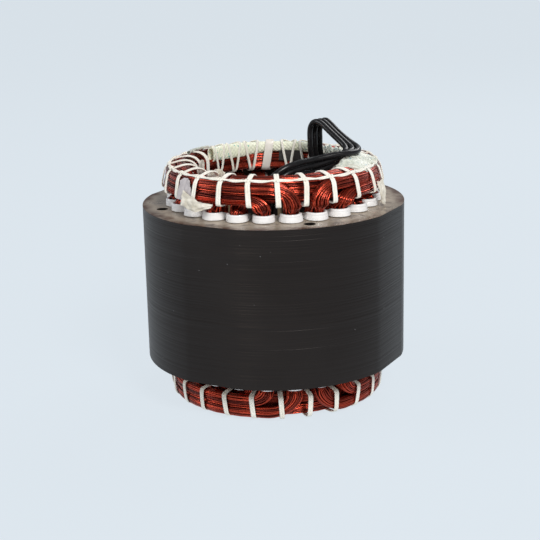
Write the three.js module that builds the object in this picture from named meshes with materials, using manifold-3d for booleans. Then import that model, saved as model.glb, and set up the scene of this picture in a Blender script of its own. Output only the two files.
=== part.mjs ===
// The wound stator of a three-phase, two-pole motor: a laminated core with 24 slots, 12 concentric coils,
// slot liners, laced end windings, sleeved joints and three flying leads. It has no rotor and no moving piece.
// Millimetres, +Z up along the bore. The origin is on the bore axis, level with the lowest lacing, so the
// stator stands on its lower end winding. Angles run from -Y towards +X.
import * as THREE from 'three';
import { mergeVertices } from 'three/addons/utils/BufferGeometryUtils.js';
import Module from 'manifold-3d';

const wasm = await Module();
wasm.setup();

// Core
const CORE_RADIUS = 75;
const BORE_RADIUS = 41;
const STACK_HEIGHT = 89;
const CORE_BOTTOM = 24;
const CORE_TOP = CORE_BOTTOM + STACK_HEIGHT;
const FLAT_HALF_ANGLE = 11.5;
const FLAT_COUNT = 4;
const RIM_STEPS = 9;
const BOLT_RADIUS = 65.3;
const BOLT_HOLE = 3.2;
const BOLT_STEPS = 12;

// Slots, with parallel teeth between them
const SLOT_COUNT = 24;
const PITCH = 360 / SLOT_COUNT;
const TOOTH_WIDTH = 4;
const SLOT_BOTTOM = 61;
const SLOT_SHOULDER = 43.8;
const SLOT_OPENING = 3;
const TIP_DEPTH = 1.2;
const SLOT_ARC_STEPS = 5;

// Slot liners
const LINER_CLEARANCE = 0.3;
const LINER_THICKNESS = 0.5;
const LINER_INNER = 44.6;
const CUFF_HEIGHT = 4.4;
const CUFF_OVERHANG = 0.75;
const CUFF_LIFT = 0.35;

// Coils: three layers of end turns, phase A outside, B next and C inside, each with a lower and an upper level.
// The lacing pulls an end winding's outer edge down by the drop and in by the taper. Sizes are before that pull.
const COIL_CLEARANCE = 1.1;
const COIL_INNER = 45;
const LAYER_GAP = 0.3;
const LEG_HALF_WIDTHS = [4.8, 4.3, 3.9];
const CORNER_CUT = 1.2;
const LEG_STRAIGHT = 0.2;
const PULL_START = 9;
const TOP = {
  face: CORE_TOP,
  side: 1,
  outer: 63,
  inner: 43.6,
  levels: [[10.2, 17.6], [18, 25.4]],
  innerLevels: [[10.2, 14.4], [14.7, 18.9]],
  drop: 3.8,
  taper: 2.5,
};
const BOTTOM = {
  face: CORE_BOTTOM,
  side: -1,
  outer: 61.8,
  inner: 43.6,
  levels: [[9.6, 16], [16.4, 22.8]],
  innerLevels: [[9.6, 16], [16.4, 22.8]],
  drop: 1.2,
  taper: 0.8,
};
const PHASES = [
  { name: 'a', layer: 0, firstSlot: 1, copper: 0x8c3a28 },
  { name: 'b', layer: 1, firstSlot: 9, copper: 0x96402b },
  { name: 'c', layer: 2, firstSlot: 5, copper: 0x86352a },
];

// Lacing and strap
const BAND_GAP = 0.3;
const INNER_BAND_GAP = 0.5;
const UNDER_BAND_GAP = 0.9;
const BAND_THICKNESS = 0.9;
const BAND_WIDTH = 2.8;
const BAND_CORNER = 2.5;
const BAND_INNER_CORNER = 0.875;
const CORD_RADIUS = 0.6;
const STRAP_WIDTH = 4.8;
const STRAP_THICKNESS = 1.2;
const STRAP_TOOTH = 14;
const STRAP_HEAD = { radial: 4.8, around: 7.4, height: 6.4 };

// Sleeves along the ring: the angles where one starts and ends, then its radius, height and half sizes
const SLEEVES = [
  { name: 'joint_sleeve_rear', from: 172, to: 256, radius: 46.6, height: 22.1, half: [2.8, 2.9] },
  { name: 'joint_sleeve_right', from: 78, to: 146, radius: 46.6, height: 22.1, half: [2.8, 2.9] },
  { name: 'splice_sleeve_left', from: 254, to: 280, radius: 57.5, height: 28.1, half: [1.2, 1.2] },
];
const SLEEVE_STEP = 10;
const SLEEVE_SIDES = 8;

// Papers and tape tails: the angle and the radius they stand at, and [sideways, low, high] at three places
const SHEET_THICKNESS = 0.4;
const SHEETS = [
  {
    name: 'phase_paper_left',
    angle: 337.5,
    radius: 62.8,
    edges: [[-5.6, 13, 24], [0, 12.5, 24], [5.6, 13.5, 22]],
  },
  {
    name: 'phase_paper_rear',
    angle: 202.5,
    radius: 42.5,
    edges: [[-3.6, 12, 18.5], [-0.6, 11.5, 19], [2.4, 12.5, 19]],
  },
  {
    name: 'tape_tail_left',
    angle: 352.5,
    radius: 63.5,
    edges: [[-5.6, 3, 9.5], [0, 2, 9.2], [5.6, 6, 8.4]],
  },
  {
    name: 'tape_tail_right',
    angle: 97.5,
    radius: 63.5,
    edges: [[-3, 4, 14], [0, 1, 13.5], [3, 5, 13]],
  },
];

// Leads
const LEAD_DIAMETER = 3.4;
const LEAD_SPACING = 3.7;
const LEAD_STEPS = 40;
const LEAD_SIDES = 8;
const BARREL_GAP = 0.3;
const BARREL_RADIUS = 2.1;
const BARREL_LENGTH = 7;
const BARREL_SIDES = 10;
const TAB_WIDTH = 6.3;
const TAB_LENGTH = 10;
const TAB_THICKNESS = 0.8;
const TAB_HOLE = 0.9;
const TAB_CHAMFER = 1;
const TAB_NECK = 1.7;

// The middle lead's route out of the winding, over the ring and down the bore wall. A row holds the angle, the
// radius and the height over the core, and then the way its neighbour lies: outward, around and up.
const LEAD_ROUTE = [
  [157.5, 42.8, 15.5, 0, 0, 1],
  [157.5, 40, 15.7, 0.15, 0, 0.99],
  [157.5, 36.8, 17, 0.5, 0, 0.87],
  [157.5, 34, 20, 0.85, 0, 0.5],
  [157.5, 32.7, 25, 1.04, 0, 0],
  [157.5, 32.5, 31, 1.06, 0, 0],
  [157.5, 32.5, 36, 1.06, 0, 0],
  [155.8, 32.5, 39.2, 1.04, 0, 0],
  [151.8, 32.6, 41.6, 1, 0.1, 0],
  [146.2, 33.1, 42.2, 0.95, 0.22, 0],
  [140.4, 34, 41, 0.9, 0.32, -0.08],
  [131, 36.4, 37.4, 0.85, 0.45, -0.15],
  [122.5, 40, 33.8, 0.78, 0.55, -0.1],
  [116.7, 43.1, 31.4, 0.75, 0.62, 0],
  [112.3, 45, 30.2, 0.93, 0.37, 0],
  [107.1, 45.8, 29.5, 1, 0, 0],
  [102.1, 45.2, 29.1, 0.95, -0.3, 0.05],
  [97.5, 43.3, 28.3, 0.75, -0.6, 0.3],
  [89.7, 39.2, 26.4, 0.5, -0.35, 0.8],
  [80, 35.9, 24.9, 0.2, -0.15, 0.97],
  [69, 34, 24, 0, 0, 1],
  [55.5, 33.8, 23.4, 0, 0, 1],
  [42, 35.3, 21.9, 0, -0.1, 1],
  [32, 36.9, 18.2, 0, -0.45, 0.87],
  [25, 37.5, 12, 0, -0.75, 0.62],
  [21, 37.6, 4, 0, -0.9, 0.3],
  [19, 37.5, -6, 0, -0.95, 0.1],
  [18, 37.4, -17, 0, -1, 0],
  [17.5, 37.2, -27, 0, -1.25, 0],
  [17.5, 37.1, -38, 0, -1.6, 0],
];

const HALF_PITCH = THREE.MathUtils.degToRad(PITCH / 2);
const TOOTH_VERTEX = TOOTH_WIDTH / (2 * Math.sin(HALF_PITCH));
const SLOT_ARC_CENTRE = (SLOT_BOTTOM + TOOTH_VERTEX * Math.sin(HALF_PITCH)) / (1 + Math.sin(HALF_PITCH));
const SLOT_ARC = SLOT_BOTTOM - SLOT_ARC_CENTRE;

const slotAngle = (slot) => PITCH * (slot + 0.5);

// Unit vectors at an angle: outward, and around towards larger angles
function outward(angle) {
  const turn = THREE.MathUtils.degToRad(angle);
  return new THREE.Vector3(Math.sin(turn), -Math.cos(turn), 0);
}

function around(angle) {
  const turn = THREE.MathUtils.degToRad(angle);
  return new THREE.Vector3(Math.cos(turn), Math.sin(turn), 0);
}

// The point at an angle, a radius and a height, moved sideways by shift
function place(angle, radius, z, shift = 0) {
  const point = outward(angle).multiplyScalar(radius).addScaledVector(around(angle), shift);
  point.z = z;
  return point;
}

// The end windings pulled into shape: nothing moves at the inner edge or near the core, most at the outer edge
function pulledIn(geometry) {
  const points = geometry.attributes.position;
  const point = new THREE.Vector3();
  for (let i = 0; i < points.count; i += 1) {
    point.fromBufferAttribute(points, i);
    const end = point.z > CORE_TOP ? TOP : BOTTOM;
    const rise = ((point.z - end.face) * end.side - PULL_START) / (end.levels[1][1] - PULL_START);
    const radius = Math.hypot(point.x, point.y);
    const share = Math.max(rise, 0) * Math.max((radius - end.inner) / (end.outer - end.inner), 0);
    const shrink = 1 - (end.taper * share) / radius;
    points.setXYZ(i, point.x * shrink, point.y * shrink, point.z - end.side * end.drop * share);
  }
  return geometry;
}

// A closed skin through rings of equally many points. The rings close on themselves, or end at flat caps.
function loft(rings, capped) {
  const count = rings[0].length;
  const bands = capped ? rings.length - 1 : rings.length;
  const index = [];
  for (let i = 0; i < bands; i += 1) {
    const next = (i + 1) % rings.length;
    for (let j = 0; j < count; j += 1) {
      const k = (j + 1) % count;
      index.push(i * count + j, i * count + k, next * count + k);
      index.push(i * count + j, next * count + k, next * count + j);
    }
  }
  if (capped) {
    const last = bands * count;
    for (const [a, b, c] of capFaces(rings[0])) {
      index.push(a, c, b, last + a, last + b, last + c);
    }
  }
  const geometry = new THREE.BufferGeometry();
  geometry.setFromPoints(rings.flat());
  geometry.setIndex(turnedOutward(rings.flat(), index));
  return geometry;
}

// Triangles over a flat ring of points, with the ring's own sense
function capFaces(ring) {
  const origin = ring[0];
  const across = ring[1].clone().sub(origin).normalize();
  const normal = new THREE.Vector3();
  for (let j = 0; j < ring.length; j += 1) {
    normal.add(ring[j].clone().sub(origin).cross(ring[(j + 1) % ring.length].clone().sub(origin)));
  }
  const upward = normal.normalize().cross(across);
  const flat = ring.map((p) => {
    const offset = p.clone().sub(origin);
    return new THREE.Vector2(offset.dot(across), offset.dot(upward));
  });
  return THREE.ShapeUtils.triangulateShape(flat, []);
}

// The same triangles, reversed if they enclose a negative volume
function turnedOutward(points, index) {
  let volume = 0;
  for (let i = 0; i < index.length; i += 3) {
    const [a, b, c] = [points[index[i]], points[index[i + 1]], points[index[i + 2]]];
    volume += a.dot(b.clone().cross(c));
  }
  return volume > 0 ? index : index.reverse();
}

function solid(geometry) {
  const bare = geometry.clone();
  bare.deleteAttribute('normal');
  bare.deleteAttribute('uv');
  const merged = mergeVertices(bare, 1e-4);
  return new wasm.Manifold(new wasm.Mesh({
    numProp: 3,
    vertProperties: new Float32Array(merged.attributes.position.array),
    triVerts: new Uint32Array(merged.index.array),
  }));
}

function geometryOf(manifold) {
  const mesh = manifold.getMesh();
  const geometry = new THREE.BufferGeometry();
  geometry.setAttribute('position', new THREE.BufferAttribute(mesh.vertProperties, mesh.numProp));
  geometry.setIndex(new THREE.BufferAttribute(mesh.triVerts, 1));
  return geometry;
}

// Half the width of a slot at a radius, with its walls moved in by offset
function slotHalfWidth(radius, offset) {
  return (radius - TOOTH_VERTEX) * Math.tan(HALF_PITCH) - offset / Math.cos(HALF_PITCH);
}

// The slot's wall moved in by offset, as [sideways, radius] points from one side round the bottom to the other
function slotWall(offset, innerRadius, arcSteps) {
  const start = slotHalfWidth(innerRadius, offset);
  const points = [[start, innerRadius]];
  for (let i = 0; i <= arcSteps; i += 1) {
    const turn = -HALF_PITCH + (i * (Math.PI + 2 * HALF_PITCH)) / arcSteps;
    const radius = SLOT_ARC - offset;
    points.push([radius * Math.cos(turn), SLOT_ARC_CENTRE + radius * Math.sin(turn)]);
  }
  points.push([-start, innerRadius]);
  return points;
}

function laminationStack() {
  const outline = new THREE.Shape();
  const arcSpan = 360 / FLAT_COUNT - 2 * FLAT_HALF_ANGLE;
  const rim = [];
  for (let flat = 0; flat < FLAT_COUNT; flat += 1) {
    for (let i = 0; i <= RIM_STEPS; i += 1) {
      const angle = (flat * 360) / FLAT_COUNT + FLAT_HALF_ANGLE + (i * arcSpan) / RIM_STEPS;
      rim.push(place(angle, CORE_RADIUS, 0));
    }
  }
  outline.setFromPoints(rim);

  const bore = [];
  const half = SLOT_OPENING / 2;
  const mouth = Math.sqrt(BORE_RADIUS ** 2 - half ** 2);
  for (let slot = 0; slot < SLOT_COUNT; slot += 1) {
    const side = [[half, mouth], [half, mouth + TIP_DEPTH], ...slotWall(0, SLOT_SHOULDER, SLOT_ARC_STEPS)];
    const section = [...side, [-half, mouth + TIP_DEPTH], [-half, mouth]];
    bore.push(...section.reverse().map(([shift, radius]) => place(slotAngle(slot), radius, 0, shift)));
  }
  outline.holes.push(new THREE.Path(bore));

  for (let flat = 0; flat < FLAT_COUNT; flat += 1) {
    const centre = place(360 / FLAT_COUNT * (flat + 0.5), BOLT_RADIUS, 0);
    const hole = [];
    for (let i = 0; i < BOLT_STEPS; i += 1) {
      const edge = outward((i * 360) / BOLT_STEPS).multiplyScalar(BOLT_HOLE);
      hole.push(edge.add(centre));
    }
    outline.holes.push(new THREE.Path(hole));
  }
  const stack = new THREE.ExtrudeGeometry(outline, { depth: STACK_HEIGHT, bevelEnabled: false });
  return stack.translate(0, 0, CORE_BOTTOM);
}

// A paper trough down one slot, folded back at each end into a cuff that hooks over the core's face
function slotLiner(slot) {
  const wall = LINER_CLEARANCE + LINER_THICKNESS;
  const low = CORE_BOTTOM - CUFF_HEIGHT;
  const high = CORE_TOP + CUFF_HEIGHT;
  const profile = [
    [wall, low],
    [wall, high],
    [-CUFF_OVERHANG, high],
    [-CUFF_OVERHANG, CORE_TOP + CUFF_LIFT],
    [LINER_CLEARANCE, CORE_TOP + CUFF_LIFT],
    [LINER_CLEARANCE, CORE_BOTTOM - CUFF_LIFT],
    [-CUFF_OVERHANG, CORE_BOTTOM - CUFF_LIFT],
    [-CUFF_OVERHANG, low],
  ];
  const walls = profile.map(([offset]) => slotWall(offset, LINER_INNER, SLOT_ARC_STEPS));
  const rings = walls[0].map((_, step) => profile.map(([, z], i) => {
    const [shift, radius] = walls[i][step];
    return place(slotAngle(slot), radius, z, shift);
  }));
  return loft(rings, true);
}

// An eight-sided section of an end turn between two radii, in the same order as the coil's section in a slot
function turnSection(halfWidth, inner, outer) {
  const half = [
    [halfWidth - CORNER_CUT, inner],
    [halfWidth, inner + CORNER_CUT],
    [halfWidth, outer - CORNER_CUT],
    [halfWidth - CORNER_CUT, outer],
  ];
  return [...half, ...half.map(([across, radius]) => [-across, radius]).reverse()];
}

// One ring of a coil. turn is 0 where the wires rise in slot a, 90 along the upper end, 180 down slot b and
// 270 along the lower end. Radii follow the flat sides that straight runs between the teeth make.
function coilRing(end, layer, station, travel) {
  const { angle, height, turn, half, blend, flat } = station;
  const thickness = (end.outer - end.inner - 2 * LAYER_GAP) / 3;
  const outer = end.outer - layer * (thickness + LAYER_GAP);
  const run = turnSection(half, outer - thickness, outer);
  const slot = slotWall(COIL_CLEARANCE, COIL_INNER, SLOT_ARC_STEPS);
  const bend = THREE.MathUtils.degToRad(turn);
  const across = around(angle).multiplyScalar(-Math.cos(bend) * travel);
  across.z = Math.sin(bend);
  return run.map(([offset, radius], i) => {
    const sideways = THREE.MathUtils.lerp(slot[i][0], offset, blend);
    const out = THREE.MathUtils.lerp(slot[i][1], radius * flat, blend);
    return place(angle, out, end.face + end.side * height).addScaledVector(across, sideways);
  });
}

// The stations of one coil where it leaves a slot and turns along the end winding, from the cuff upwards
function cornerStations(end, layer, level, slot, direction) {
  const [low, high] = (layer === 2 ? end.innerLevels : end.levels)[level];
  const thickness = (end.outer - end.inner - 2 * LAYER_GAP) / 3;
  const radius = end.outer - layer * (thickness + LAYER_GAP) - thickness / 2;
  const bendRadius = radius * HALF_PITCH;
  const middle = (low + high) / 2;
  const start = middle - bendRadius;
  const flareTop = end.levels[0][0] - LAYER_GAP;
  const flareBottom = CUFF_HEIGHT + LEG_STRAIGHT;
  const straight = level === 1 ? [flareBottom, flareTop, start] : [flareBottom, start];
  const bends = level === 1 ? [30, 60, 90] : [20, 50, 90];
  const rows = [...straight.map((height) => [0, height]), ...bends.map((turn) => [turn, null])];
  return rows.map(([turn, height]) => {
    const bend = THREE.MathUtils.degToRad(turn);
    const away = THREE.MathUtils.radToDeg((bendRadius * (1 - Math.cos(bend))) / radius);
    const half = THREE.MathUtils.lerp(LEG_HALF_WIDTHS[layer], (high - low) / 2, Math.sin(bend));
    const centre = height ?? start + bendRadius * Math.sin(bend);
    const crest = centre + half * Math.sin(bend);
    return {
      angle: slotAngle(slot) + direction * away,
      height: centre,
      turn,
      half,
      blend: THREE.MathUtils.clamp((crest - flareBottom) / (flareTop - flareBottom), 0, 1),
      flat: Math.cos(HALF_PITCH) / Math.cos(THREE.MathUtils.degToRad(away)),
    };
  });
}

// The coil's run over one end: up from slot a, along the teeth and down into slot b, span slots away
function endRun(end, layer, level, slot, span, direction) {
  const rise = cornerStations(end, layer, level, slot, direction);
  const fall = cornerStations(end, layer, level, slot + direction * span, -direction).reverse();
  const along = rise[rise.length - 1];
  const run = [];
  for (let step = 1; step < span - 1; step += 1) {
    run.push({ ...along, angle: along.angle + direction * step * PITCH });
  }
  return [...rise, ...run, ...fall.map((station) => ({ ...station, turn: 180 - station.turn }))];
}

function coil(layer, level, slot, span, travel) {
  const upper = endRun(TOP, layer, level, slot, span, travel);
  const lower = endRun(BOTTOM, layer, level, slot + travel * span, span, -travel);
  const rings = upper.map((station) => coilRing(TOP, layer, station, travel));
  for (const station of lower) {
    rings.push(coilRing(BOTTOM, layer, { ...station, turn: station.turn + 180 }, travel));
  }
  return loft(rings, false);
}

// A band round the end winding's section at one angle, with cut corners
function band(end, angle, width, thickness) {
  const box = {
    inner: end.inner - INNER_BAND_GAP,
    outer: end.outer + BAND_GAP,
    low: end.levels[0][0] - UNDER_BAND_GAP,
    high: end.levels[1][1] + BAND_GAP,
  };
  const outline = (grow) => {
    const [inner, outer] = [box.inner - grow, box.outer + grow];
    const [low, high] = [box.low - grow, box.high + grow];
    const cut = grow > 0 ? BAND_CORNER : BAND_INNER_CORNER;
    return [
      [inner, low],
      [outer - cut, low],
      [outer, low + cut],
      [outer, high - cut],
      [outer - cut, high],
      [inner, high],
    ];
  };
  const inside = outline(0);
  const outside = outline(thickness);
  const rings = inside.map((_, i) => [
    [inside[i], -width / 2], [outside[i], -width / 2], [outside[i], width / 2], [inside[i], width / 2],
  ].map(([[radius, height], shift]) => place(angle, radius, end.face + end.side * height, shift)));
  return loft(rings, false);
}

// Bands at every tooth and the cord that links them along the outer edge, joined as one net. Where a tooth
// is left to the strap, the cord stops at the bands on both sides of it.
function lacing(end, strapTooth) {
  const height = end.levels[1][1] + BAND_GAP + 0.75 * CORD_RADIUS;
  const radius = end.outer - BAND_CORNER - CORD_RADIUS;
  const open = strapTooth !== undefined;
  const first = open ? strapTooth + 1 : 0;
  const count = open ? SLOT_COUNT - 1 : SLOT_COUNT;
  const rings = [];
  const bands = [];
  for (let tooth = first; tooth < first + count; tooth += 1) {
    const ring = [];
    for (let i = 0; i < 4; i += 1) {
      const turn = (i * Math.PI) / 2 + Math.PI / 4;
      const rise = height + CORD_RADIUS * Math.sin(turn);
      ring.push(place(tooth * PITCH, radius + CORD_RADIUS * Math.cos(turn), end.face + end.side * rise));
    }
    rings.push(ring);
    bands.push(solid(band(end, tooth * PITCH, BAND_WIDTH, BAND_THICKNESS)));
  }
  return geometryOf(bands.reduce((net, each) => net.add(each), solid(loft(rings, open))));
}

// A flat strap round the rear of the winding, with its locking head on the outside
function cableTie() {
  const { radial, around: wide, height } = STRAP_HEAD;
  const head = new THREE.BoxGeometry(wide, radial, height);
  const centre = TOP.outer + BAND_GAP + (STRAP_THICKNESS + radial) / 2;
  head.translate(0, -centre, TOP.face + (TOP.levels[0][0] + TOP.levels[1][1]) / 2);
  head.rotateZ(THREE.MathUtils.degToRad(STRAP_TOOTH * PITCH));
  const loop = band(TOP, STRAP_TOOTH * PITCH, STRAP_WIDTH, STRAP_THICKNESS);
  return geometryOf(solid(loop).add(solid(head)));
}

function sleeve({ from, to, radius, height, half }) {
  const steps = Math.round((to - from) / SLEEVE_STEP);
  const rings = [];
  for (let step = 0; step <= steps; step += 1) {
    const angle = from + (step * (to - from)) / steps;
    const ring = [];
    for (let i = 0; i < SLEEVE_SIDES; i += 1) {
      const turn = ((i + 0.5) * 2 * Math.PI) / SLEEVE_SIDES;
      const z = TOP.face + height + half[1] * Math.sin(turn);
      ring.push(place(angle, radius + half[0] * Math.cos(turn), z));
    }
    rings.push(ring);
  }
  return loft(rings, true);
}

function sheet({ angle, radius, edges }) {
  const rings = edges.map(([shift, low, high]) => [
    place(angle, radius, TOP.face + low, shift),
    place(angle, radius + SHEET_THICKNESS, TOP.face + low, shift),
    place(angle, radius + SHEET_THICKNESS, TOP.face + high, shift),
    place(angle, radius, TOP.face + high, shift),
  ]);
  return loft(rings, true);
}

// The route of one of the three leads. A neighbour lies square to the path, so the bundle stays flat.
function leadPath(rank) {
  const middle = LEAD_ROUTE.map(([angle, radius, height]) => place(angle, radius, TOP.face + height));
  return LEAD_ROUTE.map(([angle, , , out, along, up], i) => {
    const before = middle[Math.max(i - 1, 0)];
    const after = middle[Math.min(i + 1, middle.length - 1)];
    const ahead = after.clone().sub(before).normalize();
    const lean = outward(angle).multiplyScalar(out).addScaledVector(around(angle), along);
    lean.z = up;
    const spread = lean.length();
    const aside = lean.addScaledVector(ahead, -lean.dot(ahead)).setLength(spread * LEAD_SPACING);
    return middle[i].clone().addScaledVector(aside, rank);
  });
}

function lead(rank) {
  const section = new THREE.Shape();
  for (let i = 0; i < LEAD_SIDES; i += 1) {
    const turn = (i * 2 * Math.PI) / LEAD_SIDES;
    const [x, y] = [(LEAD_DIAMETER / 2) * Math.cos(turn), (LEAD_DIAMETER / 2) * Math.sin(turn)];
    if (i === 0) {
      section.moveTo(x, y);
    } else {
      section.lineTo(x, y);
    }
  }
  const extrudePath = new THREE.CatmullRomCurve3(leadPath(rank), false, 'centripetal');
  return new THREE.ExtrudeGeometry(section, { steps: LEAD_STEPS, extrudePath });
}

// A crimped barrel with a flat tab below it, the tab's width pointing at the bore axis
function terminal(rank) {
  const [angle] = LEAD_ROUTE[LEAD_ROUTE.length - 1];
  const barrel = new THREE.CylinderGeometry(BARREL_RADIUS, BARREL_RADIUS, BARREL_LENGTH, BARREL_SIDES);
  barrel.rotateX(Math.PI / 2);
  barrel.translate(0, 0, -BARREL_GAP - BARREL_LENGTH / 2);
  const outline = new THREE.Shape();
  const half = TAB_WIDTH / 2;
  const low = -BARREL_GAP - BARREL_LENGTH - TAB_LENGTH;
  outline.moveTo(-half, low + TAB_CHAMFER);
  outline.lineTo(TAB_CHAMFER - half, low);
  outline.lineTo(half - TAB_CHAMFER, low);
  outline.lineTo(half, low + TAB_CHAMFER);
  outline.lineTo(half, low + TAB_LENGTH - TAB_CHAMFER);
  outline.lineTo(TAB_NECK, low + TAB_LENGTH + TAB_CHAMFER);
  outline.lineTo(-TAB_NECK, low + TAB_LENGTH + TAB_CHAMFER);
  outline.lineTo(-half, low + TAB_LENGTH - TAB_CHAMFER);
  const hole = new THREE.Path();
  hole.absarc(0, low + TAB_LENGTH / 2, TAB_HOLE, 0, 2 * Math.PI);
  outline.holes.push(hole);
  const thickness = { depth: TAB_THICKNESS, bevelEnabled: false, curveSegments: 8 };
  const tab = new THREE.ExtrudeGeometry(outline, thickness);
  tab.translate(0, 0, -TAB_THICKNESS / 2);
  tab.rotateX(Math.PI / 2);
  tab.rotateZ(Math.PI / 2);
  const geometry = geometryOf(solid(barrel).add(solid(tab)));
  geometry.rotateZ(THREE.MathUtils.degToRad(angle));
  return geometry.translate(...leadPath(rank).pop().toArray());
}

const group = new THREE.Group();

function add(name, geometry, color, roughness, metalness = 0) {
  const mesh = new THREE.Mesh(geometry, new THREE.MeshStandardMaterial({ color, roughness, metalness }));
  mesh.name = name;
  group.add(mesh);
}

add('lamination_stack', laminationStack(), 0x2b2b2d, 0.5, 0.6);
for (let slot = 1; slot <= SLOT_COUNT; slot += 1) {
  add(`slot_liner_${slot}`, slotLiner(slot), 0xeceae6, 0.6);
}
for (const { name, layer, firstSlot, copper } of PHASES) {
  add(`coil_${name}1`, pulledIn(coil(layer, 0, firstSlot, 9, -1)), copper, 0.35, 0.4);
  add(`coil_${name}2`, pulledIn(coil(layer, 1, firstSlot + 1, 11, -1)), copper, 0.35, 0.4);
  add(`coil_${name}3`, pulledIn(coil(layer, 1, firstSlot + 2, 11, 1)), copper, 0.35, 0.4);
  add(`coil_${name}4`, pulledIn(coil(layer, 0, firstSlot + 3, 9, 1)), copper, 0.35, 0.4);
}
add('lacing_top', pulledIn(lacing(TOP, STRAP_TOOTH)), 0xe9e2d0, 0.8);
add('lacing_bottom', pulledIn(lacing(BOTTOM)), 0xe9e2d0, 0.8);
add('cable_tie', pulledIn(cableTie()), 0xe4ded6, 0.45);
for (const item of SLEEVES) {
  add(item.name, pulledIn(sleeve(item)), 0xdfe3cf, 0.7);
}
for (const item of SHEETS) {
  add(item.name, pulledIn(sheet(item)), 0xcfc9c4, 0.85);
}
for (const [i, name] of ['u', 'v', 'w'].entries()) {
  add(`lead_${name}`, lead(i - 1), 0x141414, 0.3);
  add(`terminal_${name}`, terminal(i - 1), 0xc8c6c0, 0.35, 0.9);
}

export default group;
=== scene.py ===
"""Looks of the wound stator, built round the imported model: core, liners, coils, lacing, sleeves and leads.

Lengths are in millimetres until a mesh is made. Angles are in degrees from -Y towards +X.
"""

import math
import random

import bmesh
import bpy
import numpy as np
from mathutils import Matrix, Vector, geometry


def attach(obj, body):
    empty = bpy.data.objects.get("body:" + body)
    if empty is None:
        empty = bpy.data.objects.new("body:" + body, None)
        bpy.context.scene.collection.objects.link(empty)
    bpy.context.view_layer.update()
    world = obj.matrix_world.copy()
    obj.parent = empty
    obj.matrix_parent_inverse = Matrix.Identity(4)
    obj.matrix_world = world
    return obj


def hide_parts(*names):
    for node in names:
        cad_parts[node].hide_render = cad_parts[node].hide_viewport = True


MM = 0.001

# Core and slots, as in the CAD source
CORE_RADIUS, BORE_RADIUS = 75.0, 41.0
CORE_BOTTOM, STACK_HEIGHT = 24.0, 89.0
CORE_TOP = CORE_BOTTOM + STACK_HEIGHT
FLAT_HALF_ANGLE, FLAT_COUNT = 11.5, 4
BOLT_RADIUS, BOLT_HOLE = 65.3, 3.2
SLOT_COUNT, PITCH = 24, 15.0
TOOTH_WIDTH, SLOT_BOTTOM, SLOT_SHOULDER, SLOT_OPENING, TIP_DEPTH = 4.0, 61.0, 43.8, 3.0, 1.2
LINER_CLEARANCE, LINER_WALL, LINER_INNER, CUFF_HEIGHT = 0.3, 0.8, 44.6, 4.4
COIL_CLEARANCE, COIL_INNER, LAYER_GAP = 1.1, 45.0, 0.3
LEG_HALF_WIDTHS = (4.8, 4.3, 3.9)

# Laminations: their thickness, how far their edges scatter, and half of the sloping step between two of them
LAMINATION, EDGE_SCATTER, HALF_STEP = 0.5, 0.014, 0.04
RIM_STEPS, WALL_STEPS, TOOTH_STEPS, HOLE_STEPS = 25, 12, 5, 28

HALF_PITCH = math.radians(PITCH / 2)
TOOTH_VERTEX = TOOTH_WIDTH / (2 * math.sin(HALF_PITCH))
ARC_CENTRE = (SLOT_BOTTOM + TOOTH_VERTEX * math.sin(HALF_PITCH)) / (1 + math.sin(HALF_PITCH))
ARC = SLOT_BOTTOM - ARC_CENTRE

# End windings: face and side of the core, radii, heights of the lower and upper level, and the lacing's pull
TOP = {"face": CORE_TOP, "side": 1, "outer": 63.0, "inner": 43.6,
       "levels": ((10.2, 17.6), (18.0, 25.4)), "inner_levels": ((10.2, 14.4), (14.7, 18.9)),
       "drop": 3.8, "taper": 2.5}
BOTTOM = {"face": CORE_BOTTOM, "side": -1, "outer": 61.8, "inner": 43.6,
          "levels": ((9.6, 16.0), (16.4, 22.8)), "inner_levels": ((9.6, 16.0), (16.4, 22.8)),
          "drop": 1.2, "taper": 0.8}
PULL_START = 9.0

# A phase's name, layer and first slot, and a coil's number, level, slot offset, span and direction
PHASES = (("a", 0, 1), ("b", 1, 9), ("c", 2, 5))
COILS = ((1, 0, 0, 9, -1), (2, 1, 1, 11, -1), (3, 1, 2, 11, 1), (4, 0, 3, 9, 1))

# A coil's bends: reach in slot pitches and rise, for its level
BENDS = ((0.66, 8.4), (0.95, 12.4))
BEND_SLACK = 0.12

# Strands: radius, then their rings in a bundle as size and count, and the extra ones at each leg
WIRE_RADIUS = 0.53
STRAND_RINGS = ((1.0, 21), (0.68, 13), (0.34, 6))
LEG_STRANDS, LEG_STRAND_END = 19, 0.45
SWELL = 0.22

# Cuffs: extra height under the core, and how they are cut down towards the bore
CUFF_EXTRA_BELOW = 1.4
TRIM_SHARE, TRIM_FROM, TRIM_OVER = 0.16, 48.0, 8
LINER_STEPS, LINER_SWAY, LINER_LIFT = 18, 0.08, 0.12

# Wedges: middle radius, side clearance, half thickness, crown, steps, and ends as reach and share of width
WEDGE_RADIUS, WEDGE_CLEARANCE, WEDGE_HALF, WEDGE_CROWN, WEDGE_STEPS = 44.1, 0.35, 0.25, 0.35, 9
WEDGE_ENDS = ((1.6, 0.9), (1.0, 1))

# Lacing: where its bands begin and how deep they reach, the sleeved teeth, its cords' half sizes, and the
# running cords' sag and break beside the strap
BAND_TOP, BAND_DEPTH = 26, 17
INSIDE_RADIUS, INSIDE_OVER = 52, 8
STRAP_TOOTH = 14
SLEEVED_TEETH = range(12, 18)
TOP_CORD, BOTTOM_CORD, RUNNING_CORD = (0.78, 0.48), (0.74, 0.42), (0.50, 0.60)
TOP_GAP, BOTTOM_GAP, JOINT_SPREAD = 0.70, 0.66, 4.4
RUNNING_RADIUS, RUNNING_HEIGHT, RUNNING_SAG, RUNNING_BREAK = 61.4, 26.9, 0.5, 0.45
KNOT_HEIGHT, HAIR_HEIGHT = 26.6, 27.0
HAIR_COUNT, HAIR_RADIUS = 70, 0.07

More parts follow.
